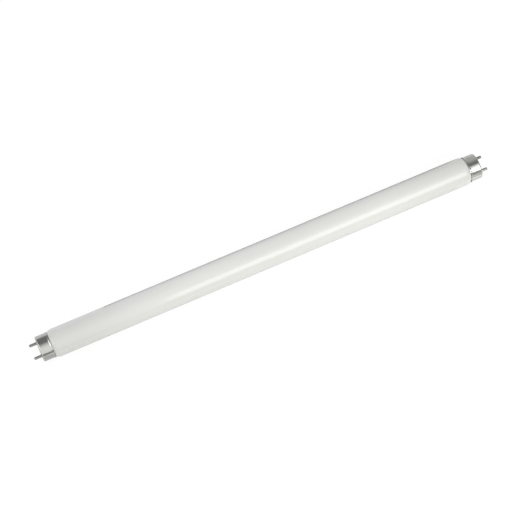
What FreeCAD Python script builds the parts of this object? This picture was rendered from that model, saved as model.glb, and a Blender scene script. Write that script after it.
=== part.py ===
"""Linear fluorescent lamp, nominal 26 mm tube with two-pin caps, 18 inch (15 W) size.

The lamp lies along X with its centre at the origin, Z is up, and each pair of pins lies in the XY plane.
The glass is one sealed envelope: a barrel, a shoulder and a neck at each end, and in each neck a funnel
that folds back inside to the pressed stem, with the tipped-off exhaust tube on its axis.
Each end carries a drawn aluminium cap shell, an insulating plate behind the shell's opening, two hollow
contact pins riveted into the plate, a ring of cement and two lead wires from the stem to the pins' tips.

A formula is written with the names of the sheet's cells. Depths run from the cap's face into the lamp.
"""
import FreeCAD, Part
import math
import os
import re

import Sketcher

DIMENSIONS = {
    # Standard sizes of the lamp and its caps
    "face_to_face": 437.4,
    "glass_radius": 13.2,
    "pin_spacing": 12.7,
    "pin_length": 7.1,
    "pin_radius": 1.25,
    # Glass barrel, shoulder and neck
    "glass_wall": 0.6,
    "shoulder_depth": 16.8,
    "shoulder_radius": 10.0,
    "neck_blend": 2.0,
    "neck_radius": 10.95,
    "rim_round": 0.6,
    # Stem: the funnel, its tube, the flattened press and the exhaust tube
    "flare_depth": 11.0,
    "flare_radius": 7.0,
    "stem_bore": 3.5,
    "stem_wall": 0.7,
    "press_depth": 24.0,
    "press_root": 0.5,
    "press_taper": 4.5,
    "press_tongue": 4.0,
    "press_half_width": 5.4,
    "press_half_thickness": 1.7,
    "exhaust_radius": 1.9,
    "exhaust_bore": 0.9,
    "exhaust_tip_depth": 8.6,
    # Cap shell, drawn from thin sheet, with a flared lip towards the glass
    "cap_radius": 11.95,
    "cap_wall": 0.35,
    "cap_height": 11.5,
    "cap_rim_round": 1.4,
    "opening_radius": 8.9,
    "lip_radius": 12.3,
    "lip_length": 0.35,
    "lip_bend": 1.8,
    # Insulating plate
    "plate_radius": 11.4,
    "plate_thickness": 1.6,
    "island_radius": 8.8,
    "island_recess": 0.1,
    "pin_seat_radius": 2.3,
    "pin_seat_depth": 0.5,
    "rib_half_length": 3.4,
    "rib_half_width": 0.7,
    "rib_height": 0.3,
    "mark_offset": 5.6,
    "mark_radius": 1.3,
    "mark_depth": 0.15,
    # Contact pin
    "shank_radius": 1.45,
    "pin_tip_round": 0.6,
    "pin_tip_wall": 0.6,
    "pin_bore": 0.8,
    "collar_radius": 1.9,
    "collar_height": 0.45,
    "flange_radius": 2.1,
    "flange_thickness": 0.4,
    # Lead wire
    "wire_radius": 0.25,
    "wire_offset": 2.75,
    "wire_first_bend": 8.5,
    "wire_second_bend": 3.0,
    "wire_bend_radius": 3.0,
    # Cement ring
    "cement_start": 4.8,
    "cement_end": 8.0,
}

# Cosine and sine of the slope where the shoulder's outward curve meets the curve into the neck
SHOULDER_COS = "(1 - (glass_radius - neck_radius) / (shoulder_radius + neck_blend))"
SHOULDER_SIN = f"sqrt(1 - {SHOULDER_COS} ^ 2)"
# The same for the two bends that flare the cap's lip
LIP_COS = "(1 - (lip_radius - cap_radius) / (2 * lip_bend))"
LIP_SIN = f"sqrt(1 - {LIP_COS} ^ 2)"

HALF = "face_to_face / 2"
NECK_START = f"{HALF} - shoulder_depth + (shoulder_radius + neck_blend) * {SHOULDER_SIN}"
FLARE_CENTRE = "(stem_bore + flare_radius)"
PLATE_BACK = "(cap_wall + plate_thickness)"
PIN_SEAT = f"({PLATE_BACK} - pin_seat_depth)"
LIP_START = f"(cap_height - lip_length - 2 * lip_bend * {LIP_SIN})"

SIDES = {"left": 180, "right": 0}
ROWS = {"front": -1, "rear": 1}

doc = FreeCAD.newDocument("FluorescentTube")


def fill_sheet():
    """Writes each driving dimension as a plain number in column B, with its name as text and alias."""
    sheet = doc.addObject("Spreadsheet::Sheet", "Dims")
    for line, (name, size) in enumerate(DIMENSIONS.items(), start=1):
        sheet.set(f"A{line}", name)
        sheet.set(f"B{line}", str(size))
        sheet.setAlias(f"B{line}", name)
    doc.recompute()
    return sheet


def bound(formula):
    """Returns a formula with each cell's name led by the sheet's own name."""
    def full_name(match):
        word = match.group(0)
        return f"Dims.{word}" if word in DIMENSIONS else word
    return re.sub(r"[a-z_]+", full_name, formula)


def value(formula):
    """Returns what a formula comes to, in millimetres."""
    return float(doc.Dims.evalExpression(bound(formula)))


def new_body(label):
    """Starts a piece; its label names its file."""
    body = doc.addObject("PartDesign::Body", label)
    body.Label = label
    return body


def new_sketch(body, name, role="XY_Plane", offset=None):
    """Attaches a sketch to one of the body's own origin planes, moved along the plane's normal."""
    sketch = body.newObject("Sketcher::SketchObject", f"{body.Label}_{name}")
    plane = next(item for item in body.Origin.OriginFeatures if item.Role == role)
    sketch.AttachmentSupport = [(plane, "")]
    sketch.MapMode = "FlatFace"
    if offset:
        sketch.setExpression("AttachmentOffset.Base.z", bound(offset))
    return sketch


def bind(sketch, kind, references, formula):
    """Adds one dimension to a sketch and ties it to its formula."""
    place = sketch.addConstraint(Sketcher.Constraint(kind, *references, value(formula)))
    sketch.setExpression(f"Constraints[{place}]", bound(formula))


def fix_point(sketch, geometry, end, x_formula, y_formula):
    """Ties a point to its two coordinates; a zero puts it on the axis itself."""
    for kind, axis, formula in (("DistanceX", -2, x_formula), ("DistanceY", -1, y_formula)):
        if formula == "0":
            sketch.addConstraint(Sketcher.Constraint("PointOnObject", geometry, end, axis))
        else:
            bind(sketch, kind, (-1, 1, geometry, end), formula)


def arc_between(start, end, radius, turn):
    """Returns the short arc of a radius that leaves start and turns left or right to reach end."""
    chord = end - start
    side = 1 if turn == "left" else -1
    sideways = FreeCAD.Vector(-chord.y, chord.x, 0).normalize() * side
    height = math.sqrt(max(radius ** 2 - chord.Length ** 2 / 4, 0))
    centre = (start + end) * 0.5 + sideways * height
    first, last = (start, end) if turn == "left" else (end, start)
    angles = [math.atan2(point.y - centre.y, point.x - centre.x) for point in (first, last)]
    circle = Part.Circle(centre, FreeCAD.Vector(0, 0, 1), radius)
    return Part.ArcOfCircle(circle, *angles)


def draw_outline(sketch, corners, closed=True):
    """Draws runs through the corners; each corner is x, y and, where the next run is an arc, radius and turn."""
    points = [FreeCAD.Vector(value(corner[0]), value(corner[1]), 0) for corner in corners]
    runs = len(corners) if closed else len(corners) - 1
    ends = []
    for index in range(runs):
        start = points[index]
        finish = points[(index + 1) % len(points)]
        arc = corners[index][2:]
        if arc:
            geometry = sketch.addGeometry(arc_between(start, finish, value(arc[0]), arc[1]), False)
            bind(sketch, "Radius", (geometry,), arc[0])
        else:
            geometry = sketch.addGeometry(Part.LineSegment(start, finish), False)
        forwards = not arc or arc[1] == "left"
        ends.append((geometry, 1, 2) if forwards else (geometry, 2, 1))
    for index in range(runs if closed else runs - 1):
        geometry, _, leaves = ends[index]
        following, enters, _ = ends[(index + 1) % runs]
        sketch.addConstraint(Sketcher.Constraint("Coincident", geometry, leaves, following, enters))
    for (geometry, enters, _), corner in zip(ends, corners):
        fix_point(sketch, geometry, enters, *corner[:2])
    if not closed:
        geometry, _, leaves = ends[-1]
        fix_point(sketch, geometry, leaves, *corners[-1][:2])


def draw_circle(sketch, x_formula, y_formula, radius):
    """Draws a circle about a point that is tied to its formulas."""
    centre = FreeCAD.Vector(value(x_formula), value(y_formula), 0)
    circle = Part.Circle(centre, FreeCAD.Vector(0, 0, 1), value(radius))
    geometry = sketch.addGeometry(circle, False)
    bind(sketch, "Radius", (geometry,), radius)
    fix_point(sketch, geometry, 3, x_formula, y_formula)


def draw_ellipse(sketch, half_width, half_height):
    """Draws an ellipse about the origin, wider than high, held by its two diameters."""
    ellipse = Part.Ellipse(FreeCAD.Vector(0, 0, 0), value(half_width), value(half_height))
    geometry = sketch.addGeometry(ellipse, False)
    sketch.exposeInternalGeometry(geometry)
    wide, high = geometry + 1, geometry + 2
    sketch.addConstraint(Sketcher.Constraint("Coincident", geometry, 3, -1, 1))
    sketch.addConstraint(Sketcher.Constraint("Horizontal", wide))
    bind(sketch, "Distance", (wide,), f"2 * {half_width}")
    bind(sketch, "Distance", (high,), f"2 * {half_height}")


def revolve(body, name, corners):
    """Turns an outline once round the body's X axis."""
    sketch = new_sketch(body, f"{name}_outline")
    draw_outline(sketch, corners)
    turned = body.newObject("PartDesign::Revolution", f"{body.Label}_{name}")
    turned.Profile = sketch
    turned.ReferenceAxis = (sketch, ["H_Axis"])
    turned.Angle = 360
    return turned


def pocket(body, name, sketch, depth, reverse=False):
    """Cuts a sketch into the body to a depth."""
    cut = body.newObject("PartDesign::Pocket", f"{body.Label}_{name}")
    cut.Profile = sketch
    cut.setExpression("Length", bound(depth))
    cut.Reversed = reverse
    return cut


def pad(body, name, sketch, length):
    """Raises a sketch from its plane by a length."""
    block = body.newObject("PartDesign::Pad", f"{body.Label}_{name}")
    block.Profile = sketch
    block.setExpression("Length", bound(length))
    return block


def place_at_end(body, side, row=0):
    """Stands a piece on its cap's face plane; the left end is the right end turned half round Z."""
    turn = FreeCAD.Rotation(FreeCAD.Vector(0, 0, 1), SIDES[side])
    body.Placement = FreeCAD.Placement(FreeCAD.Vector(0, 0, 0), turn)
    outward = "1" if side == "right" else "-1"
    body.setExpression("Placement.Base.x", bound(f"{outward} * {HALF}"))
    if row:
        body.setExpression("Placement.Base.y", bound(f"{row} * pin_spacing / 2"))


def make_glass_tube():
    """Builds the right half of the envelope and mirrors it about the lamp's middle."""
    body = new_body("glass_tube")
    inner_flare = "(flare_radius - stem_wall)"
    inner_neck = "(neck_radius - glass_wall)"
    rim = f"{HALF} - flare_depth + sqrt(flare_radius ^ 2 - ({FLARE_CENTRE} - neck_radius + rim_round) ^ 2)"
    inner_rim = f"{HALF} - flare_depth + sqrt({inner_flare} ^ 2 - ({FLARE_CENTRE} - {inner_neck}) ^ 2)"
    barrel_end = f"{HALF} - shoulder_depth"
    exhaust_dome = f"{HALF} - exhaust_tip_depth - exhaust_radius"
    press_floor = f"{HALF} - press_depth"
    press_inside = f"{HALF} - press_depth - press_root"
    revolve(body, "wall", [
        # Outer face: barrel, shoulder, neck and rounded rim
        ("0", "glass_radius"),
        (barrel_end, "glass_radius", "shoulder_radius", "right"),
        (f"{barrel_end} + shoulder_radius * {SHOULDER_SIN}",
         f"glass_radius - shoulder_radius * (1 - {SHOULDER_COS})", "neck_blend", "left"),
        (NECK_START, "neck_radius"),
        (f"{rim} - rim_round", "neck_radius", "rim_round", "right"),
        # Funnel and bore of the stem, open towards the cap
        (rim, "neck_radius - rim_round", "flare_radius", "right"),
        (f"{HALF} - flare_depth", "stem_bore"),
        (press_floor, "stem_bore"),
        # Exhaust tube with its melted tip
        (press_floor, "exhaust_radius"),
        (exhaust_dome, "exhaust_radius", "exhaust_radius", "right"),
        (f"{HALF} - exhaust_tip_depth", "0"),
        (f"{exhaust_dome} + exhaust_bore", "0", "exhaust_bore", "left"),
        (exhaust_dome, "exhaust_bore"),
        (press_inside, "exhaust_bore"),
        # Sealed side: stem, funnel, neck, shoulder and barrel
        (press_inside, "stem_bore + stem_wall"),
        (f"{HALF} - flare_depth", "stem_bore + stem_wall", inner_flare, "left"),
        (inner_rim, inner_neck),
        (NECK_START, inner_neck, "neck_blend + glass_wall", "right"),
        (f"{barrel_end} + (shoulder_radius - glass_wall) * {SHOULDER_SIN}",
         f"glass_radius - shoulder_radius + (shoulder_radius - glass_wall) * {SHOULDER_COS}",
         "shoulder_radius - glass_wall", "left"),
        (barrel_end, "glass_radius - glass_wall"),
        ("0", "glass_radius - glass_wall"),
    ])

    tube_end = new_sketch(body, "press_tube_end", "YZ_Plane", press_inside)
    draw_circle(tube_end, "0", "0", "stem_bore + stem_wall")
    sections = []
    for name, depth in (("root", "press_taper"), ("edge", "press_taper + press_tongue")):
        section = new_sketch(body, f"press_{name}", "YZ_Plane", f"{press_inside} - ({depth})")
        draw_ellipse(section, "press_half_width", "press_half_thickness")
        sections.append(section)
    press = body.newObject("PartDesign::AdditiveLoft", "glass_tube_press")
    press.Profile = tube_end
    press.Sections = [(section, "") for section in sections]
    press.Ruled = True

    bore = new_sketch(body, "exhaust_bore", "YZ_Plane", press_floor)
    draw_circle(bore, "0", "0", "exhaust_bore")
    pocket(body, "exhaust_way", bore, "press_root + press_taper + press_tongue")
    doc.recompute()

    mirror = body.newObject("PartDesign::Mirrored", "glass_tube_whole")
    middle = next(item for item in body.Origin.OriginFeatures if item.Role == "YZ_Plane")
    mirror.MirrorPlane = (middle, [""])
    mirror.TransformMode = "Whole shape"
    body.Tip = mirror
    return body


def make_cap_shell(side):
    """Draws the thin cup: face with its opening, rounded rim, skirt and flared lip."""
    body = new_body(f"{side}_cap_shell")
    revolve(body, "cup", [
        ("0", "opening_radius"),
        ("0", "cap_radius - cap_rim_round", "cap_rim_round", "left"),
        ("-cap_rim_round", "cap_radius"),
        (f"-{LIP_START}", "cap_radius", "lip_bend", "right"),
        (f"-({LIP_START} + lip_bend * {LIP_SIN})", f"cap_radius + lip_bend * (1 - {LIP_COS})",
         "lip_bend", "left"),
        ("-(cap_height - lip_length)", "lip_radius"),
        ("-cap_height", "lip_radius"),
        ("-cap_height", "lip_radius - cap_wall"),
        ("-(cap_height - lip_length)", "lip_radius - cap_wall", "lip_bend - cap_wall", "right"),
        (f"-({LIP_START} + (lip_bend + cap_wall) * {LIP_SIN})",
         f"cap_radius + lip_bend - (lip_bend + cap_wall) * {LIP_COS}", "lip_bend + cap_wall", "left"),
        (f"-{LIP_START}", "cap_radius - cap_wall"),
        ("-cap_rim_round", "cap_radius - cap_wall", "cap_rim_round - cap_wall", "right"),
        ("-cap_wall", "cap_radius - cap_rim_round"),
        ("-cap_wall", "opening_radius"),
    ])
    place_at_end(body, side)
    return body


def make_insulating_plate(side):
    """Moulds the disc that backs the shell's opening: pin holes and seats, a rib between the pins, two marks."""
    body = new_body(f"{side}_insulating_plate")
    revolve(body, "disc", [
        ("-island_recess", "0"),
        ("-island_recess", "island_radius"),
        ("-cap_wall", "island_radius"),
        ("-cap_wall", "plate_radius - cap_rim_round + cap_wall", "cap_rim_round - cap_wall", "left"),
        ("-cap_rim_round", "plate_radius"),
        (f"-{PLATE_BACK}", "plate_radius"),
        (f"-{PLATE_BACK}", "0"),
    ])
    holes = new_sketch(body, "pin_holes", "YZ_Plane", f"-{PLATE_BACK}")
    seats = new_sketch(body, "pin_seats", "YZ_Plane", f"-{PLATE_BACK}")
    for row in ROWS.values():
        draw_circle(holes, f"{row} * pin_spacing / 2", "0", "shank_radius")
        draw_circle(seats, f"{row} * pin_spacing / 2", "0", "pin_seat_radius")
    pocket(body, "pin_hole_cuts", holes, PLATE_BACK, reverse=True)
    pocket(body, "pin_seat_cuts", seats, "pin_seat_depth", reverse=True)

    # The rib that keeps the pins apart is a bar with round ends, and its outline runs once round from the left
    rib = new_sketch(body, "rib", "YZ_Plane", "-island_recess")
    straight = "(rib_half_length - rib_half_width)"
    draw_outline(rib, [
        (f"-{straight}", "-rib_half_width"),
        (straight, "-rib_half_width", "rib_half_width", "left"),
        ("rib_half_length", "0", "rib_half_width", "left"),
        (straight, "rib_half_width"),
        (f"-{straight}", "rib_half_width", "rib_half_width", "left"),
        ("-rib_half_length", "0", "rib_half_width", "left"),
    ])
    pad(body, "rib_bar", rib, "rib_height")

    # Shallow round marks left by the mould's ejector pins
    marks = new_sketch(body, "ejector_marks", "YZ_Plane", "-island_recess")
    for way in ROWS.values():
        draw_circle(marks, "0", f"{way} * mark_offset", "mark_radius")
    pocket(body, "ejector_mark_cuts", marks, "mark_depth")
    place_at_end(body, side)
    return body


def make_pin(side, row_name):
    """Turns the hollow pin: rounded tip, collar on the plate, thicker shank and riveted flange behind it."""
    body = new_body(f"{side}_{row_name}_pin")
    flange_back = f"-({PIN_SEAT} + flange_thickness)"
    revolve(body, "pin", [
        ("pin_length", "wire_radius"),
        ("pin_length", "pin_radius - pin_tip_round", "pin_tip_round", "left"),
        ("pin_length - pin_tip_round", "pin_radius"),
        ("collar_height - island_recess", "pin_radius"),
        ("collar_height - island_recess", "collar_radius"),
        ("-island_recess", "collar_radius"),
        ("-island_recess", "shank_radius"),
        (f"-{PIN_SEAT}", "shank_radius"),
        (f"-{PIN_SEAT}", "flange_radius"),
        (flange_back, "flange_radius"),
        (flange_back, "pin_bore"),
        ("pin_length - pin_tip_wall - pin_bore + wire_radius", "pin_bore"),
        ("pin_length - pin_tip_wall", "wire_radius"),
    ])
    place_at_end(body, side, ROWS[row_name])
    return body


def make_lead_wire(side, row_name):
    """Sweeps a round wire from the stem's press, out past the exhaust tip, to the end of its pin."""
    body = new_body(f"{side}_{row_name}_lead_wire")
    outward = ROWS[row_name] if side == "right" else -ROWS[row_name]
    run = "(wire_first_bend - wire_second_bend)"
    rise = "(pin_spacing / 2 - wire_offset)"
    slant = f"sqrt({run} ^ 2 + {rise} ^ 2)"
    # Distance from a bend's corner to where its arc begins: radius times the tangent of half the turn
    setback = f"(wire_bend_radius * ({slant} - {run}) / {rise})"
    along = f"({setback} * {run} / {slant})"
    across = f"({setback} * {rise} / {slant})"
    route = new_sketch(body, "route")
    turns = ("left", "right") if outward > 0 else ("right", "left")
    inner = f"{outward} * wire_offset"
    outer = f"{outward} * pin_spacing / 2"
    draw_outline(route, [
        ("-press_depth", inner),
        (f"-wire_first_bend - {setback}", inner, "wire_bend_radius", turns[0]),
        (f"-wire_first_bend + {along}", f"{inner} + {outward} * {across}"),
        (f"-wire_second_bend - {along}", f"{outer} - {outward} * {across}", "wire_bend_radius", turns[1]),
        (f"-wire_second_bend + {setback}", outer),
        ("pin_length", outer),
    ], closed=False)
    section = new_sketch(body, "section", "YZ_Plane", "-press_depth")
    draw_circle(section, inner, "0", "wire_radius")
    wire = body.newObject("PartDesign::AdditivePipe", f"{body.Label}_wire")
    wire.Profile = section
    wire.Spine = route
    place_at_end(body, side)
    return body


def make_cement_ring(side):
    """Fills the gap between the glass neck and the shell's skirt over the height of the cement."""
    body = new_body(f"{side}_cement_ring")
    revolve(body, "ring", [
        ("-cement_start", "neck_radius"),
        ("-cement_start", "cap_radius - cap_wall"),
        ("-cement_end", "cap_radius - cap_wall"),
        ("-cement_end", "neck_radius"),
    ])
    place_at_end(body, side)
    return body


def make_lamp():
    """Builds every piece of the lamp and returns them."""
    pieces = [make_glass_tube()]
    for side in SIDES:
        pieces += [make_cap_shell(side), make_insulating_plate(side), make_cement_ring(side)]
        for row_name in ROWS:
            pieces += [make_pin(side, row_name), make_lead_wire(side, row_name)]
    return pieces


def check(pieces):
    """Stops the build if any object failed or any piece isn't one sound solid."""
    for item in doc.Objects:
        if "Invalid" in item.State or "Error" in item.State:
            raise RuntimeError(f"{item.Label} failed: {item.State}")
    for piece in pieces:
        shape = piece.Shape
        if shape.isNull() or not shape.isValid() or len(shape.Solids) != 1:
            raise RuntimeError(f"{piece.Label} is not one sound solid")


def write(pieces):
    """Writes one STEP file for each piece."""
    os.makedirs("parts", exist_ok=True)
    for piece in pieces:
        piece.Shape.exportStep(f"parts/{piece.Label}.step")
        box = piece.Shape.BoundBox
        print(f"{piece.Label}: {piece.Shape.Volume:.1f} mm3, x {box.XMin:.2f} to {box.XMax:.2f}")


fill_sheet()
lamp = make_lamp()
doc.recompute()
check(lamp)
write(lamp)
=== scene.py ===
import math

import bpy
import numpy as np
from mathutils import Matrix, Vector


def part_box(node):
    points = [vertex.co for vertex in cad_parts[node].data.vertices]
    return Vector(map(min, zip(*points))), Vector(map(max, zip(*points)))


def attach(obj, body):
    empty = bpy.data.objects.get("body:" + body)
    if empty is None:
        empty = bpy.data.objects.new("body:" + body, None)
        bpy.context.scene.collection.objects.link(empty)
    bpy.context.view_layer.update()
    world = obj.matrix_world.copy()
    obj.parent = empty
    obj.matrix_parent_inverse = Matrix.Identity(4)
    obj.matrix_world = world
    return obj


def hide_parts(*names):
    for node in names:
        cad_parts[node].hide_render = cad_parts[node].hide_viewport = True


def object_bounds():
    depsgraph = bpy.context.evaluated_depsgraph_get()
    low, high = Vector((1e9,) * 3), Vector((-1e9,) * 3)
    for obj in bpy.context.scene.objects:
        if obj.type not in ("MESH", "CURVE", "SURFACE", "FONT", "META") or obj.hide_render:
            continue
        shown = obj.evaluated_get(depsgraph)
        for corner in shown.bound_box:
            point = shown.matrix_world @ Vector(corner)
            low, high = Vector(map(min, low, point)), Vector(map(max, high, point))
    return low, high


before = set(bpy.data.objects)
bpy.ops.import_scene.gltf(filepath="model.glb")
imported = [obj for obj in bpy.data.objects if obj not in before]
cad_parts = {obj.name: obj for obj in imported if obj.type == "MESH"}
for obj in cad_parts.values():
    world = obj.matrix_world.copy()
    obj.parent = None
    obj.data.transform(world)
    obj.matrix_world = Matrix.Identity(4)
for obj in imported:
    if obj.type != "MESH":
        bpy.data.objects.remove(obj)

cad_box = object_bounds()

MM = 0.001

# Sizes read from the frame
shell_low, shell_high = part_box("right_cap_shell")
pin_low, pin_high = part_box("right_rear_pin")
HALF = shell_high.x
CAP_HEIGHT = shell_high.x - shell_low.x
LIP_RADIUS = shell_high.y
GLASS_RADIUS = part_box("glass_tube")[1].y
PIN_ROW = (pin_low.y + pin_high.y) / 2
PIN_LENGTH = pin_high.x - HALF
FLANGE_RADIUS = (pin_high.y - pin_low.y) / 2

# Glass: wall, shoulder, neck and rim
GLASS_WALL = 0.6 * MM
SHOULDER_DEPTH = 16.8 * MM
SHOULDER_RADIUS = 10.0 * MM
NECK_BLEND = 2.0 * MM
NECK_RADIUS = 10.95 * MM
RIM_ROUND = 0.6 * MM

# Stem: funnel, tube, press and exhaust tube
FLARE_DEPTH = 11.0 * MM
FLARE_RADIUS = 7.0 * MM
STEM_BORE = 3.5 * MM
STEM_WALL = 0.7 * MM
PRESS_DEPTH = 24.0 * MM
PRESS_ROOT = 0.5 * MM
PRESS_TAPER = 4.5 * MM
PRESS_TONGUE = 4.0 * MM
PRESS_HALF_WIDTH = 5.4 * MM
PRESS_HALF_THICKNESS = 1.7 * MM
EXHAUST_RADIUS = 1.9 * MM
EXHAUST_BORE = 0.9 * MM
EXHAUST_TIP_DEPTH = 8.6 * MM

# Cap shell
CAP_RADIUS = 11.95 * MM
CAP_WALL = 0.35 * MM
CAP_RIM_ROUND = 1.4 * MM
OPENING_RADIUS = 8.9 * MM
LIP_LENGTH = 0.35 * MM
LIP_BEND = 1.8 * MM

# Contact pin
PIN_RADIUS = 1.25 * MM
PIN_BORE = 0.8 * MM
PIN_TIP_ROUND = 0.6 * MM
PIN_TIP_WALL = 0.6 * MM
SHANK_RADIUS = 1.45 * MM
COLLAR_RADIUS = 1.9 * MM
COLLAR_TOP = 0.35 * MM
ISLAND_RECESS = 0.1 * MM
PIN_SEAT = 1.45 * MM
FLANGE_BACK = 1.85 * MM
CRIMP_PLACE = 3.9 * MM
CRIMP_HALF_LENGTH = 0.75 * MM
CRIMP_HALF_WIDTH = 0.45 * MM
CRIMP_DEPTH = 0.24 * MM
WIRE_RADIUS = 0.25 * MM

# Fineness of the turned pieces: divisions once round, points on an arc and rows along a pin
GLASS_AROUND = 256
SHELL_AROUND = 192
PIN_AROUND = 72
ARC_POINTS = 14
PIN_ARC_POINTS = 10
PIN_ROWS = 40

# Edges: a sharp ring turns by more than an angle, and is eased by a width
SHARP_ANGLE = math.radians(32)
EASED_ANGLE = math.radians(40)
SHELL_EDGE = 0.08 * MM
PIN_EDGE = 0.06 * MM
ON_AXIS = 1e-9

# Powder inside the glass: where it clears, measured inwards from each end's shoulder, and its colours
# At the left end the grey reaches further in than the powder's own greying towards the cathode; that extra
# reach is painted shade.
LEFT_GREY_AND_SHADE_REACH = (10 * MM, 105 * MM)
RIGHT_CLEARING = (-20 * MM, 90 * MM)
POWDER_THICK = (0.90, 0.90, 0.865, 1.0)
POWDER_THIN = (0.87, 0.87, 0.83, 1.0)
# Grey of the ends: the powder's own greying towards the cathodes, and at the left end painted shade as
# well.
POWDER_END_GREY_AND_SHADE = (0.797, 0.799, 0.765, 1.0)
POWDER_SPECK = (0.66, 0.66, 0.63, 1.0)

# Colours of the metal
SHEET_BRIGHT = (0.62, 0.625, 0.592, 1.0)
SHEET_DULL = (0.54, 0.543, 0.514, 1.0)
# Painted shade: the lip's cut edge by the glass is darkened with this colour, for the shade in the gap
# there.
SHEET_GAP_SHADE = (0.20, 0.195, 0.18, 1.0)
NICKEL_PLATE = (0.36, 0.362, 0.332, 1.0)
NICKEL_WORN = (0.385, 0.37, 0.31, 1.0)
# Painted shade: the right rear pin is darkened with this colour.
NICKEL_PAINTED_SHADE = (0.235, 0.234, 0.208, 1.0)
WIRE_MARKED = (0.58, 0.56, 0.52, 1.0)
WIRE_BRIGHT = (0.68, 0.66, 0.61, 1.0)

# Colours of the plate, the cement and the floor
MOULDING_DEEP = (0.70, 0.68, 0.61, 1.0)
MOULDING_PALE = (0.77, 0.75, 0.69, 1.0)
CEMENT_PIT = (0.36, 0.28, 0.18, 1.0)
CEMENT_CRUST = (0.62, 0.52, 0.38, 1.0)
FLOOR_PAINT = (0.82, 0.82, 0.82, 1.0)
WHITE = (1.0, 1.0, 1.0, 1.0)

# Camera and studio
CAMERA_AIM = Vector((-5.2, 2.1, 0.0)) * MM
CAMERA_DISTANCE = 1.6346
CAMERA_AZIMUTH = math.radians(-24.05)
CAMERA_ELEVATION = math.radians(70.41)
CAMERA_LENS = 126.02
CAMERA_SENSOR = 36.0
FLOOR_HALF = 6.0
FLOOR_DROP = 0.02 * MM
FLOOR_GLOW = 1.09
FLOOR_WHITE_SEEN = 0.82
FLOOR_WHITE_MIRRORED = 0.15
SKY_LEVEL = 0.735
FRONT_COLOUR = (1.0, 0.996, 0.975)
KEY_COLOUR = (1.0, 0.99, 0.96)
COOL_COLOUR = (0.05, 0.1, 1.0)
RAY_KINDS = ("camera", "diffuse", "glossy", "transmission", "shadow", "volume_scatter")


def arc(start, end, radius, turn, steps):
    """The short arc of a radius from start to end, turning left or right, as points at equal angles."""
    chord = end - start
    side = 1.0 if turn == "left" else -1.0
    length = np.hypot(*chord)
    sideways = side * np.array([-chord[1], chord[0]]) / length
    centre = (start + end) / 2 + sideways * math.sqrt(max(radius ** 2 - length ** 2 / 4, 0.0))
    first = math.atan2(*(start - centre)[::-1])
    sweep = 2 * math.asin(min(length / 2 / radius, 1.0))
    angles = first + side * np.linspace(0.0, sweep, steps)
    return centre + radius * np.column_stack([np.cos(angles), np.sin(angles)])


def outline(corners, steps=ARC_POINTS):
    """Points through corners that are x and radius and, where an arc follows, its radius and turn."""
    places = np.array([corner[:2] for corner in corners])
    runs = []
    for here, there, corner in zip(places, np.roll(places, -1, axis=0), corners):
        if len(corner) > 2:
            runs.append(arc(here, there, corner[2], corner[3], steps)[:-1])
        else:
            runs.append(here[None])
    return np.concatenate(runs)


def turned(name, section, around, centre_y=0.0, dent=None):
    """A closed section carried once round an axis parallel to X.

    A row of the section is x, b, c, and goes round as (x, b cos a, c sin a), so that b = c is a circle and
    unequal b and c an ellipse. A row of radius nought is one point, and two such rows have no face between.
    A dent is a function of x and a that gives how far the surface is pushed in there, off b and c alike.
    """
    if section.shape[1] == 2:
        section = section[:, [0, 1, 1]]
    x, b, c = section.T
    area = np.sum(x * np.roll(b, -1) - np.roll(x, -1) * b)
    if area > 0:
        x, b, c = x[::-1], b[::-1], c[::-1]
    angle = np.linspace(0.0, 2 * math.pi, around, endpoint=False)
    pushed = dent(x[:, None], angle) if dent else 0.0
    points = np.stack([
        np.broadcast_to(x[:, None], (len(x), around)),
        centre_y + (b[:, None] - pushed) * np.cos(angle),
        (c[:, None] - pushed) * np.sin(angle),
    ], axis=-1).reshape(-1, 3)
    ids = np.arange(len(points)).reshape(len(x), around)
    pole = b < ON_AXIS
    ids[pole] = ids[pole][:, :1]
    ahead = np.roll(ids, -1, axis=1)
    below, below_ahead = np.roll(ids, -1, axis=0), np.roll(ahead, -1, axis=0)
    quads = np.stack([ids, ahead, below_ahead, below], axis=-1)
    next_pole = np.roll(pole, -1)
    faces = quads[~pole & ~next_pole].reshape(-1, 4).tolist()
    faces += quads[pole & ~next_pole][..., [0, 2, 3]].reshape(-1, 3).tolist()
    faces += quads[~pole & next_pole][..., [0, 1, 2]].reshape(-1, 3).tolist()
    used, packed = np.unique(np.concatenate([np.ravel(face) for face in faces]), return_inverse=True)
    counts = np.cumsum([len(face) for face in faces])[:-1]
    mesh = bpy.data.meshes.new(name)
    mesh.from_pydata(points[used].tolist(), [], [part.tolist() for part in np.split(packed, counts)])
    mesh.shade_smooth()
    mesh.set_sharp_from_angle(angle=SHARP_ANGLE)
    piece = bpy.data.objects.new(name, mesh)
    bpy.context.scene.collection.objects.link(piece)
    return piece


def ease_edges(piece, width):
    """Rounds a piece's sharp rings by a small width, as handling and drawing leave them."""
    bevel = piece.modifiers.new("eased edges", "BEVEL")
    bevel.width = width
    bevel.segments = 2
    bevel.limit_method = "ANGLE"
    bevel.angle_limit = EASED_ANGLE
    bevel.harden_normals = True


def at_side(section, side):
    """Moves a section from its cap's face to its place; side is 1 at the right end, -1 at the left."""
    moved = section.copy()
    moved[:, 0] = side * (HALF + section[:, 0])
    return moved


def slope(drop, first, second):
    """Cosine 1 - drop / (first + second) of the slope where two opposite arcs meet, and its sine."""
    cosine = 1 - drop / (first + second)
    return cosine, math.sqrt(1 - cosine ** 2)


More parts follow.
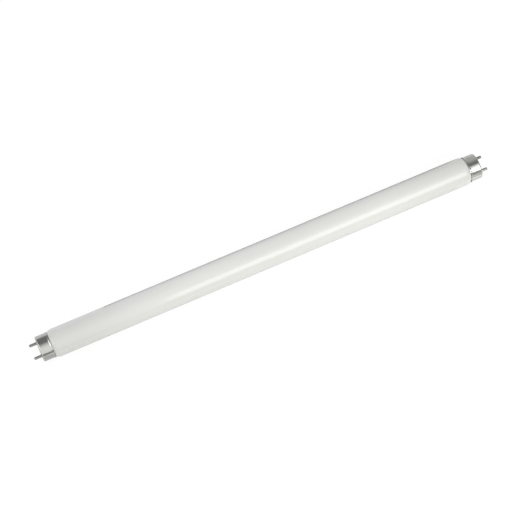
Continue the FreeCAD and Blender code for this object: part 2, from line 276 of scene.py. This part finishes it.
def glass_half():
    """Section of the right half of the envelope, from the shoulder round the rim, stem and back inside."""
    cosine, sine = slope(GLASS_RADIUS - NECK_RADIUS, SHOULDER_RADIUS, NECK_BLEND)
    neck_start = -SHOULDER_DEPTH + (SHOULDER_RADIUS + NECK_BLEND) * sine
    flare_centre = STEM_BORE + FLARE_RADIUS
    inner_flare = FLARE_RADIUS - STEM_WALL
    inner_neck = NECK_RADIUS - GLASS_WALL
    inner_shoulder = SHOULDER_RADIUS - GLASS_WALL
    rim = -FLARE_DEPTH + math.sqrt(FLARE_RADIUS ** 2 - (flare_centre - NECK_RADIUS + RIM_ROUND) ** 2)
    inner_rim = -FLARE_DEPTH + math.sqrt(inner_flare ** 2 - (flare_centre - inner_neck) ** 2)
    dome = -EXHAUST_TIP_DEPTH - EXHAUST_RADIUS
    press_inside = -PRESS_DEPTH - PRESS_ROOT
    wall = outline([
        (-SHOULDER_DEPTH, GLASS_RADIUS, SHOULDER_RADIUS, "right"),
        (-SHOULDER_DEPTH + SHOULDER_RADIUS * sine, GLASS_RADIUS - SHOULDER_RADIUS * (1 - cosine),
         NECK_BLEND, "left"),
        (neck_start, NECK_RADIUS),
        (rim - RIM_ROUND, NECK_RADIUS, RIM_ROUND, "right"),
        (rim, NECK_RADIUS - RIM_ROUND, FLARE_RADIUS, "right"),
        (-FLARE_DEPTH, STEM_BORE),
        (-PRESS_DEPTH, STEM_BORE),
        (-PRESS_DEPTH, EXHAUST_RADIUS),
        (dome, EXHAUST_RADIUS, EXHAUST_RADIUS, "right"),
        (-EXHAUST_TIP_DEPTH, 0.0),
        (dome + EXHAUST_BORE, 0.0, EXHAUST_BORE, "left"),
        (dome, EXHAUST_BORE),
        (press_inside - PRESS_TAPER - PRESS_TONGUE, EXHAUST_BORE),
        (press_inside, STEM_BORE + STEM_WALL),
        (-FLARE_DEPTH, STEM_BORE + STEM_WALL, inner_flare, "left"),
        (inner_rim, inner_neck),
        (neck_start, inner_neck, NECK_BLEND + GLASS_WALL, "right"),
        (-SHOULDER_DEPTH + inner_shoulder * sine,
         GLASS_RADIUS - SHOULDER_RADIUS + inner_shoulder * cosine, inner_shoulder, "left"),
        (-SHOULDER_DEPTH, GLASS_RADIUS - GLASS_WALL),
    ])[:, [0, 1, 1]]
    tongue = np.array([
        (press_inside - PRESS_TAPER - PRESS_TONGUE, PRESS_HALF_WIDTH, PRESS_HALF_THICKNESS),
        (press_inside - PRESS_TAPER, PRESS_HALF_WIDTH, PRESS_HALF_THICKNESS),
    ])
    root = int(np.argmin(np.hypot(wall[:, 0] - press_inside, wall[:, 1] - STEM_BORE - STEM_WALL)))
    return np.concatenate([wall[:root], tongue, wall[root:]])


def make_glass():
    """The whole sealed envelope: both halves of its section in one closed line, turned about the axis."""
    half = glass_half()
    section = np.concatenate([at_side(half, 1), at_side(half, -1)[::-1]])
    piece = turned("glass_envelope", section, GLASS_AROUND)
    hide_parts("glass_tube")
    return piece


def make_shell(side_name, side):
    """A drawn cap: face with its opening, rounded rim, skirt and flared lip, in one thickness of sheet."""
    cosine, sine = slope(LIP_RADIUS - CAP_RADIUS, LIP_BEND, LIP_BEND)
    lip_start = CAP_HEIGHT - LIP_LENGTH - 2 * LIP_BEND * sine
    section = outline([
        (0.0, OPENING_RADIUS),
        (0.0, CAP_RADIUS - CAP_RIM_ROUND, CAP_RIM_ROUND, "left"),
        (-CAP_RIM_ROUND, CAP_RADIUS),
        (-lip_start, CAP_RADIUS, LIP_BEND, "right"),
        (-lip_start - LIP_BEND * sine, CAP_RADIUS + LIP_BEND * (1 - cosine), LIP_BEND, "left"),
        (-CAP_HEIGHT + LIP_LENGTH, LIP_RADIUS),
        (-CAP_HEIGHT, LIP_RADIUS),
        (-CAP_HEIGHT, LIP_RADIUS - CAP_WALL),
        (-CAP_HEIGHT + LIP_LENGTH, LIP_RADIUS - CAP_WALL, LIP_BEND - CAP_WALL, "right"),
        (-lip_start - (LIP_BEND + CAP_WALL) * sine,
         CAP_RADIUS + LIP_BEND - (LIP_BEND + CAP_WALL) * cosine, LIP_BEND + CAP_WALL, "left"),
        (-lip_start, CAP_RADIUS - CAP_WALL),
        (-CAP_RIM_ROUND, CAP_RADIUS - CAP_WALL, CAP_RIM_ROUND - CAP_WALL, "right"),
        (-CAP_WALL, CAP_RADIUS - CAP_RIM_ROUND),
        (-CAP_WALL, OPENING_RADIUS),
    ])
    piece = turned(f"{side_name}_shell_skin", at_side(section, side), SHELL_AROUND)
    ease_edges(piece, SHELL_EDGE)
    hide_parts(f"{side_name}_cap_shell")
    return piece


def crimp(x, angle):
    """Depth exp(-u^2 - v^2) of the punch marks above and below a wire, for u along the pin, v across it."""
    along = (np.abs(x) - HALF - CRIMP_PLACE) / CRIMP_HALF_LENGTH
    across = PIN_RADIUS * np.cos(angle) / CRIMP_HALF_WIDTH
    return CRIMP_DEPTH * np.exp(-along ** 2 - across ** 2)


def make_pin(side_name, side, row_name, row):
    """A hollow contact pin: tip round the wire's end, punch marks, collar, shank and riveted flange."""
    wall = np.linspace(PIN_LENGTH - PIN_TIP_ROUND, COLLAR_TOP, PIN_ROWS)
    section = outline([
        (PIN_LENGTH, WIRE_RADIUS),
        (PIN_LENGTH, PIN_RADIUS - PIN_TIP_ROUND, PIN_TIP_ROUND, "left"),
        *[(x, PIN_RADIUS) for x in wall],
        (COLLAR_TOP, COLLAR_RADIUS),
        (-ISLAND_RECESS, COLLAR_RADIUS),
        (-ISLAND_RECESS, SHANK_RADIUS),
        (-PIN_SEAT, SHANK_RADIUS),
        (-PIN_SEAT, FLANGE_RADIUS),
        (-FLANGE_BACK, FLANGE_RADIUS),
        (-FLANGE_BACK, PIN_BORE),
        (PIN_LENGTH - PIN_TIP_WALL - PIN_BORE + WIRE_RADIUS, PIN_BORE),
        (PIN_LENGTH - PIN_TIP_WALL, WIRE_RADIUS),
    ], PIN_ARC_POINTS)
    name = f"{side_name}_{row_name}_pin"
    piece = turned(f"{name}_turned", at_side(section, side), PIN_AROUND, row * PIN_ROW, crimp)
    ease_edges(piece, PIN_EDGE)
    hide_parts(name)
    return piece


class Signal:
    """A number on its way through a material; arithmetic on it adds the Math nodes that work it out."""

    def __init__(self, paint, socket):
        self.paint = paint
        self.socket = socket

    def math(self, operation, *values):
        return self.paint.node("ShaderNodeMath", {"operation": operation}, dict(enumerate(values)))

    def __add__(self, other):
        return self.math("ADD", self, other)

    __radd__ = __add__

    def __sub__(self, other):
        return self.math("SUBTRACT", self, other)

    def __rsub__(self, other):
        return self.math("SUBTRACT", other, self)

    def __mul__(self, other):
        return self.math("MULTIPLY", self, other)

    __rmul__ = __mul__

    def __abs__(self):
        return self.math("ABSOLUTE", self)


class Paint:
    """A material or the world: the one method that adds a node to it, and the steps built on that."""

    def __init__(self, owner):
        owner.use_nodes = True
        self.owner = owner
        self.tree = owner.node_tree
        self.tree.nodes.clear()

    def node(self, kind, settings=None, inputs=None, output=0):
        """Adds a node, sets it up, feeds its sockets with values or signals, and returns one output."""
        node = self.tree.nodes.new(kind)
        for name, setting in (settings or {}).items():
            setattr(node, name, setting)
        for key, given in (inputs or {}).items():
            if isinstance(given, Signal):
                self.tree.links.new(given.socket, node.inputs[key])
            else:
                node.inputs[key].default_value = given
        return Signal(self, node.outputs[output]) if node.outputs else None

    def point(self):
        """The point on the piece, in metres; pieces and lamp share one origin."""
        return self.node("ShaderNodeTexCoord", output="Object")

    def along(self, point, axis):
        """One coordinate of a point: X along the lamp, Y across it, Z up."""
        return self.node("ShaderNodeSeparateXYZ", inputs={0: point}, output=axis)

    def rise(self, signal, low, high):
        """Smooth step: 0 below low, 1 above high."""
        return self.node("ShaderNodeMapRange", {"interpolation_type": "SMOOTHSTEP"},
                         {"Value": signal, "From Min": low, "From Max": high})

    def noise(self, point, stretch, detail=3.0, roughness=0.5):
        """Noise of about 0 to 1, with so many cells to the metre along each axis."""
        scaled = self.node("ShaderNodeVectorMath", {"operation": "MULTIPLY"}, {0: point, 1: stretch})
        return self.node("ShaderNodeTexNoise", inputs={
            "Vector": scaled, "Scale": 1.0, "Detail": detail, "Roughness": roughness})

    def blend(self, factor, first, second):
        """Colour that goes from the first to the second as the factor goes from 0 to 1."""
        return self.node("ShaderNodeMix", {"data_type": "RGBA"}, {0: factor, 6: first, 7: second}, output=2)

    def bump(self, height, distance):
        """Normal tilted by a height, where a height of 1 stands for a distance in metres."""
        return self.node("ShaderNodeBump", inputs={
            "Strength": 1.0, "Distance": distance, "Height": height})

    def surface(self, **sockets):
        """Ends the material in one Principled shader; a socket's name has underscores for spaces."""
        inputs = {name.replace("_", " "): given for name, given in sockets.items()}
        shader = self.node("ShaderNodeBsdfPrincipled", inputs=inputs)
        self.node("ShaderNodeOutputMaterial", inputs={"Surface": shader})
        return self.owner


def start_paint(name):
    """Starts a material."""
    return Paint(bpy.data.materials.new(name))


def coated_glass():
    """Matt white powder seen through clear gloss glass, a little greyer towards the cathodes.

    The grey reaches further at the left end, where it is painted shade.
    """
    paint = start_paint("coated_glass")
    point = paint.point()
    x = paint.along(point, "X")
    shoulder = HALF - SHOULDER_DEPTH
    # 1 in the middle of the tube, falling to the end grey at both ends; the longer fall at the left end is
    # painted shade.
    mid_tube = paint.rise(shoulder + x, *LEFT_GREY_AND_SHADE_REACH) * paint.rise(shoulder - x, *RIGHT_CLEARING)
    powder = paint.noise(point, (900.0, 900.0, 900.0), detail=4.0)
    cloud = paint.noise(point, (14.0, 40.0, 40.0), detail=2.0)
    white = paint.blend(cloud, POWDER_THIN, POWDER_THICK)
    tinted = paint.blend(mid_tube, POWDER_END_GREY_AND_SHADE, white)
    grained = paint.blend(0.05 * powder, tinted, POWDER_SPECK)
    ripple = paint.noise(point, (30.0, 60.0, 60.0), detail=1.0)
    return paint.surface(
        Base_Color=grained,
        Roughness=0.6,
        Specular_IOR_Level=0.25,
        Coat_Weight=1.0,
        Coat_Roughness=0.09,
        Coat_IOR=1.5,
        Normal=paint.bump(ripple, 0.06 * MM),
    )


def drawn_aluminium():
    """Bright, faintly wavy sheet with drawing rings, scuffs and duller patches, and a cut edge darkened as
    painted shade of the gap by the glass.
    """
    paint = start_paint("drawn_aluminium")
    point = paint.point()
    rings = paint.noise(point, (9000.0, 120.0, 120.0), detail=2.0)
    scuffs = paint.noise(point, (700.0, 2600.0, 2600.0), detail=4.0, roughness=0.65)
    patches = paint.noise(point, (160.0, 160.0, 160.0), detail=3.0)
    waves = paint.noise(point, (85.0, 110.0, 110.0), detail=1.0)
    dull = paint.rise(patches, 0.45, 0.75)
    skin = paint.blend(dull, SHEET_BRIGHT, SHEET_DULL)
    # Painted shade: the lip's cut edge, at the gap by the glass, is darkened.
    from_edge = abs(paint.along(point, "X")) - (HALF - CAP_HEIGHT)
    skirt = paint.rise(from_edge, 0.01 * MM, 0.09 * MM)
    colour = paint.blend(skirt, SHEET_GAP_SHADE, skin)
    return paint.surface(
        Base_Color=colour,
        Metallic=1.0,
        Roughness=0.10 + 0.07 * rings + 0.07 * scuffs + 0.06 * dull,
        Normal=paint.bump(0.30 * waves + 0.014 * rings + 0.006 * scuffs, MM),
    )


def plated_pin():
    """Thin dull nickel over brass, worn warmer in patches, with turning marks; darker at the right rear as
    painted shade.
    """
    paint = start_paint("plated_pin")
    point = paint.point()
    marks = paint.noise(point, (6000.0, 300.0, 300.0), detail=2.0)
    wear = paint.rise(paint.noise(point, (500.0, 900.0, 900.0), detail=3.0), 0.5, 0.8)
    plate = paint.blend(wear, NICKEL_PLATE, NICKEL_WORN)
    # Painted shade: darker at the right rear.
    to_right = paint.rise(paint.along(point, "X"), 0.0, HALF)
    to_rear = paint.rise(paint.along(point, "Y"), 0.0, PIN_ROW - PIN_RADIUS)
    darkened = paint.blend(to_right * to_rear, plate, NICKEL_PAINTED_SHADE)
    return paint.surface(
        Base_Color=darkened,
        Metallic=1.0,
        Roughness=0.20 + 0.12 * marks,
        Normal=paint.bump(marks, 0.012 * MM),
    )


def moulded_plate():
    """Matt off-white moulding with a fine grain."""
    paint = start_paint("moulded_plate")
    point = paint.point()
    grain = paint.noise(point, (2600.0, 2600.0, 2600.0), detail=3.0)
    cloud = paint.noise(point, (220.0, 220.0, 220.0), detail=3.0)
    colour = paint.blend(cloud, MOULDING_DEEP, MOULDING_PALE)
    return paint.surface(
        Base_Color=colour,
        Roughness=0.45 + 0.2 * grain,
        Normal=paint.bump(grain, 0.02 * MM),
    )


def capping_cement():
    """Hard-baked tan cement with a coarse, pitted grain."""
    paint = start_paint("capping_cement")
    grain = paint.noise(paint.point(), (1500.0, 1500.0, 1500.0), detail=5.0, roughness=0.7)
    colour = paint.blend(grain, CEMENT_PIT, CEMENT_CRUST)
    return paint.surface(Base_Color=colour, Roughness=0.85, Normal=paint.bump(grain, 0.08 * MM))


def nickel_wire():
    """Drawn wire, bright along its length with fine die marks."""
    paint = start_paint("nickel_wire")
    marks = paint.noise(paint.point(), (200.0, 9000.0, 9000.0), detail=2.0)
    colour = paint.blend(marks, WIRE_MARKED, WIRE_BRIGHT)
    return paint.surface(Base_Color=colour, Metallic=1.0, Roughness=0.25 + 0.15 * marks)


def glow(paint, strength):
    """White light from a surface, where a strength of 1 is white."""
    return paint.node("ShaderNodeEmission", inputs={"Color": WHITE, "Strength": strength})


def rays(paint):
    """1 or 0 each: a ray straight from the camera, one from a reflection, and one through clear glass."""
    return [paint.node("ShaderNodeLightPath", output=name)
            for name in ("Is Camera Ray", "Is Glossy Ray", "Is Transmission Ray")]


def pale_floor():
    """White floor that looks white to the camera and in reflections, and still takes a light shadow."""
    paint = start_paint("pale_floor")
    seen, mirrored, clear = rays(paint)
    whitened = FLOOR_WHITE_SEEN * (seen + clear) + FLOOR_WHITE_MIRRORED * mirrored
    lit = paint.node("ShaderNodeBsdfDiffuse", inputs={"Color": FLOOR_PAINT})
    mixed = paint.node("ShaderNodeMixShader", inputs={0: whitened, 1: lit, 2: glow(paint, FLOOR_GLOW)})
    paint.node("ShaderNodeOutputMaterial", inputs={"Surface": mixed})
    return paint.owner


def flat_piece(name, corners, material):
    """One four-cornered face of the studio, with its material; it is no part of the lamp."""
    mesh = bpy.data.meshes.new(name)
    mesh.from_pydata(corners, [], [(0, 1, 2, 3)])
    mesh.materials.append(material)
    sheet = bpy.data.objects.new(name, mesh)
    bpy.context.scene.collection.objects.link(sheet)
    return sheet


def rectangle(width, height):
    """Corners of a level rectangle about the origin, in order round it."""
    return [Vector((side * width / 2, end * height / 2, 0.0))
            for side, end in ((-1, -1), (1, -1), (1, 1), (-1, 1))]


def make_floor(height):
    """A square floor, level under the lamp."""
    level = Vector((0.0, 0.0, height))
    corners = [level + corner for corner in rectangle(2 * FLOOR_HALF, 2 * FLOOR_HALF)]
    floor = flat_piece("floor", corners, pale_floor())


def make_world():
    """Even studio light from all round, white where the camera sees past the floor."""
    world = bpy.data.worlds.new("studio")
    bpy.context.scene.world = world
    paint = Paint(world)
    seen, mirrored, clear = rays(paint)
    strength = SKY_LEVEL + (1 - SKY_LEVEL) * (seen + mirrored + clear)
    sky = paint.node("ShaderNodeBackground", inputs={"Color": WHITE, "Strength": strength})
    paint.node("ShaderNodeOutputWorld", inputs={"Surface": sky})


def make_softbox(name, direction, distance, size, radiance, aim_x, unseen_by, colour=WHITE[:3]):
    """An even rectangular light of a size in metres, facing a point of the lamp's axis from a direction."""
    width, height = size
    light = bpy.data.lights.new(name, "AREA")
    light.color = colour
    light.shape = "RECTANGLE"
    light.size = width
    light.size_y = height
    light.energy = radiance * math.pi * width * height
    softbox = bpy.data.objects.new(name, light)
    back = Vector(direction).normalized()
    softbox.location = Vector((aim_x, 0.0, 0.0)) + back * distance
    softbox.rotation_euler = back.to_track_quat("Z", "Y").to_euler()
    for ray in ("camera", unseen_by):
        setattr(softbox, f"visible_{ray}", False)
    bpy.context.scene.collection.objects.link(softbox)


def make_card(name, direction, distance, size, shade, aim=(0.0, 0.0, 0.0), met_by="glossy",
              edge_shade=None, reach=0.0):
    """A grey card that faces its aim from a direction, and that only one kind of ray meets.

    Its lower edge can have a shade of its own, which gives way to the card's as far up as its reach.
    """
    back = Vector(direction).normalized()
    turn = back.to_track_quat("Z", "Y")
    centre = Vector(aim) + back * distance
    paint = start_paint(name)
    face = glow(paint, shade)
    if edge_shade is not None:
        upwards = turn @ Vector((0.0, 1.0, 0.0))
        height = paint.node("ShaderNodeVectorMath", {"operation": "DOT_PRODUCT"},
                            {0: paint.point(), 1: upwards}, output="Value")
        edge = centre.dot(upwards) - size[1] / 2
        within = paint.rise(height, edge, edge + reach)
        face = paint.node("ShaderNodeMixShader", inputs={0: within, 1: glow(paint, edge_shade), 2: face})
    paint.node("ShaderNodeOutputMaterial", inputs={"Surface": face})
    card = flat_piece(name, [centre + turn @ corner for corner in rectangle(*size)], paint.owner)
    for ray in RAY_KINDS:
        setattr(card, f"visible_{ray}", ray == met_by)


def make_camera():
    """The photograph's camera: level, looking down on the lamp from its left front."""
    camera = bpy.data.cameras.new("camera")
    camera.lens = CAMERA_LENS
    camera.sensor_width = CAMERA_SENSOR
    camera.clip_end = 50.0
    holder = bpy.data.objects.new("camera", camera)
    flat = math.cos(CAMERA_ELEVATION)
    across, behind = math.sin(CAMERA_AZIMUTH) * flat, -math.cos(CAMERA_AZIMUTH) * flat
    back = Vector((across, behind, math.sin(CAMERA_ELEVATION)))
    holder.location = CAMERA_AIM + back * CAMERA_DISTANCE
    holder.rotation_euler = (math.pi / 2 - CAMERA_ELEVATION, 0.0, CAMERA_AZIMUTH)
    bpy.context.scene.collection.objects.link(holder)
    bpy.context.scene.camera = holder


def dress(piece, material):
    """Gives a piece its one material and lets it ride on the lamp."""
    piece.data.materials.clear()
    piece.data.materials.append(material)
    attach(piece, "root")


def dress_node(name, material):
    """Gives a node that keeps the mesh it came with a better material."""
    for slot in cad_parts[name].material_slots:
        slot.material = material


def make_lamp():
    """Dresses every piece of the lamp."""
    metal, pin_metal, plate = drawn_aluminium(), plated_pin(), moulded_plate()
    cement, wire = capping_cement(), nickel_wire()
    dress(make_glass(), coated_glass())
    for side_name, side in (("left", -1), ("right", 1)):
        dress(make_shell(side_name, side), metal)
        dress_node(f"{side_name}_insulating_plate", plate)
        dress_node(f"{side_name}_cement_ring", cement)
        for row_name, row in (("front", -1), ("rear", 1)):
            dress(make_pin(side_name, side, row_name, row), pin_metal)
            dress_node(f"{side_name}_{row_name}_lead_wire", wire)


def above(degrees, side):
    """Direction at a height above the horizon, in front of the lamp for side -1 and behind it for 1."""
    return 0.0, side * math.cos(math.radians(degrees)), math.sin(math.radians(degrees))


def light_lamp():
    """Two softboxes that only glass and metal mirror, and a key light and two fills for the powder."""
    make_softbox("front_softbox", above(45.5, -1), distance=1.1, size=(0.80, 0.66), radiance=2.8,
                 aim_x=0.385, unseen_by="diffuse", colour=FRONT_COLOUR)
    make_softbox("left_softbox", (-0.60, 0.06, 0.72), distance=1.0, size=(0.85, 0.50), radiance=1.28,
                 aim_x=-0.2, unseen_by="diffuse")
    make_softbox("key_light", above(36, -1), distance=0.8, size=(0.6, 0.6), radiance=1.54,
                 aim_x=0.325, unseen_by="glossy", colour=KEY_COLOUR)
    make_softbox("left_fill", above(44, 1), distance=0.4, size=(0.3, 0.3), radiance=0.40,
                 aim_x=-0.20, unseen_by="glossy")
    make_softbox("cool_fill", above(10, 1), distance=1.0, size=(1.6, 0.3), radiance=0.40,
                 aim_x=0.0, unseen_by="glossy", colour=COOL_COLOUR)


def set_cards():
    """Grey cards that give the metal its bands, three on the floor that paint shade and light into
    reflections, and a flag that shades the powder.
    """
    make_card("left_back_card", above(48, 1), distance=1.2, size=(1.1, 1.90), shade=0.20,
              aim=(-0.54, 0.0, 0.0))
    make_card("left_top_card", above(89, 1), distance=0.9, size=(1.1, 1.0), shade=1.0,
              aim=(-0.58, 0.0, 0.0), edge_shade=0.17, reach=0.88)
    make_card("right_top_card", above(67, 1), distance=1.1, size=(1.1, 1.17), shade=0.22,
              aim=(0.66, 0.0, 0.0), edge_shade=0.57, reach=0.8)
    make_card("right_back_card", above(31, 1), distance=1.3, size=(1.1, 1.36), shade=0.57,
              aim=(0.75, 0.0, 0.0))
    make_card("right_end_card", (0.85, 0.10, 0.42), distance=0.7, size=(1.2, 0.7), shade=0.30,
              aim=(0.22, 0.0, 0.0))
    make_card("right_flag", above(8, 1), distance=0.45, size=(0.54, 0.20), shade=0.12,
              aim=(0.36, 0.0, 0.0), met_by="diffuse")
    make_card("back_horizon", above(5, 1), distance=1.5, size=(4.0, 0.42), shade=0.49)
    make_card("left_front_card", above(7, -1), distance=1.5, size=(2.0, 0.66), shade=0.28,
              aim=(-0.95, 0.0, 0.0))
    make_card("right_front_card", above(10, -1), distance=1.5, size=(2.0, 0.84), shade=0.37,
              aim=(1.05, 0.0, 0.0))
    ground = cad_box[0].z + FLOOR_DROP
    # Patches on the floor that only reflections meet: a dark one behind the lamp paints shade into the
    # glass's upper edge, and the two under the caps paint darker and lighter reflections into the caps'
    # lower sides.
    make_card("floor_card", (0.0, 0.0, 1.0), distance=0.0, size=(0.355, 0.12), shade=0.05,
              aim=(0.0275, 0.076, ground))
    make_card("left_floor_card", (0.0, 0.0, 1.0), distance=0.0, size=(0.034, 0.060), shade=0.60,
              aim=(-0.206, -0.038, ground), edge_shade=0.70, reach=0.02)
    make_card("right_floor_card", (0.0, 0.0, 1.0), distance=0.0, size=(0.034, 0.032), shade=1.27,
              aim=(0.214, -0.024, ground), edge_shade=0.80, reach=0.032)


bpy.context.scene.view_settings.view_transform = "Standard"
make_lamp()
make_floor(cad_box[0].z - FLOOR_DROP)
make_world()
light_lamp()
set_cards()
make_camera()
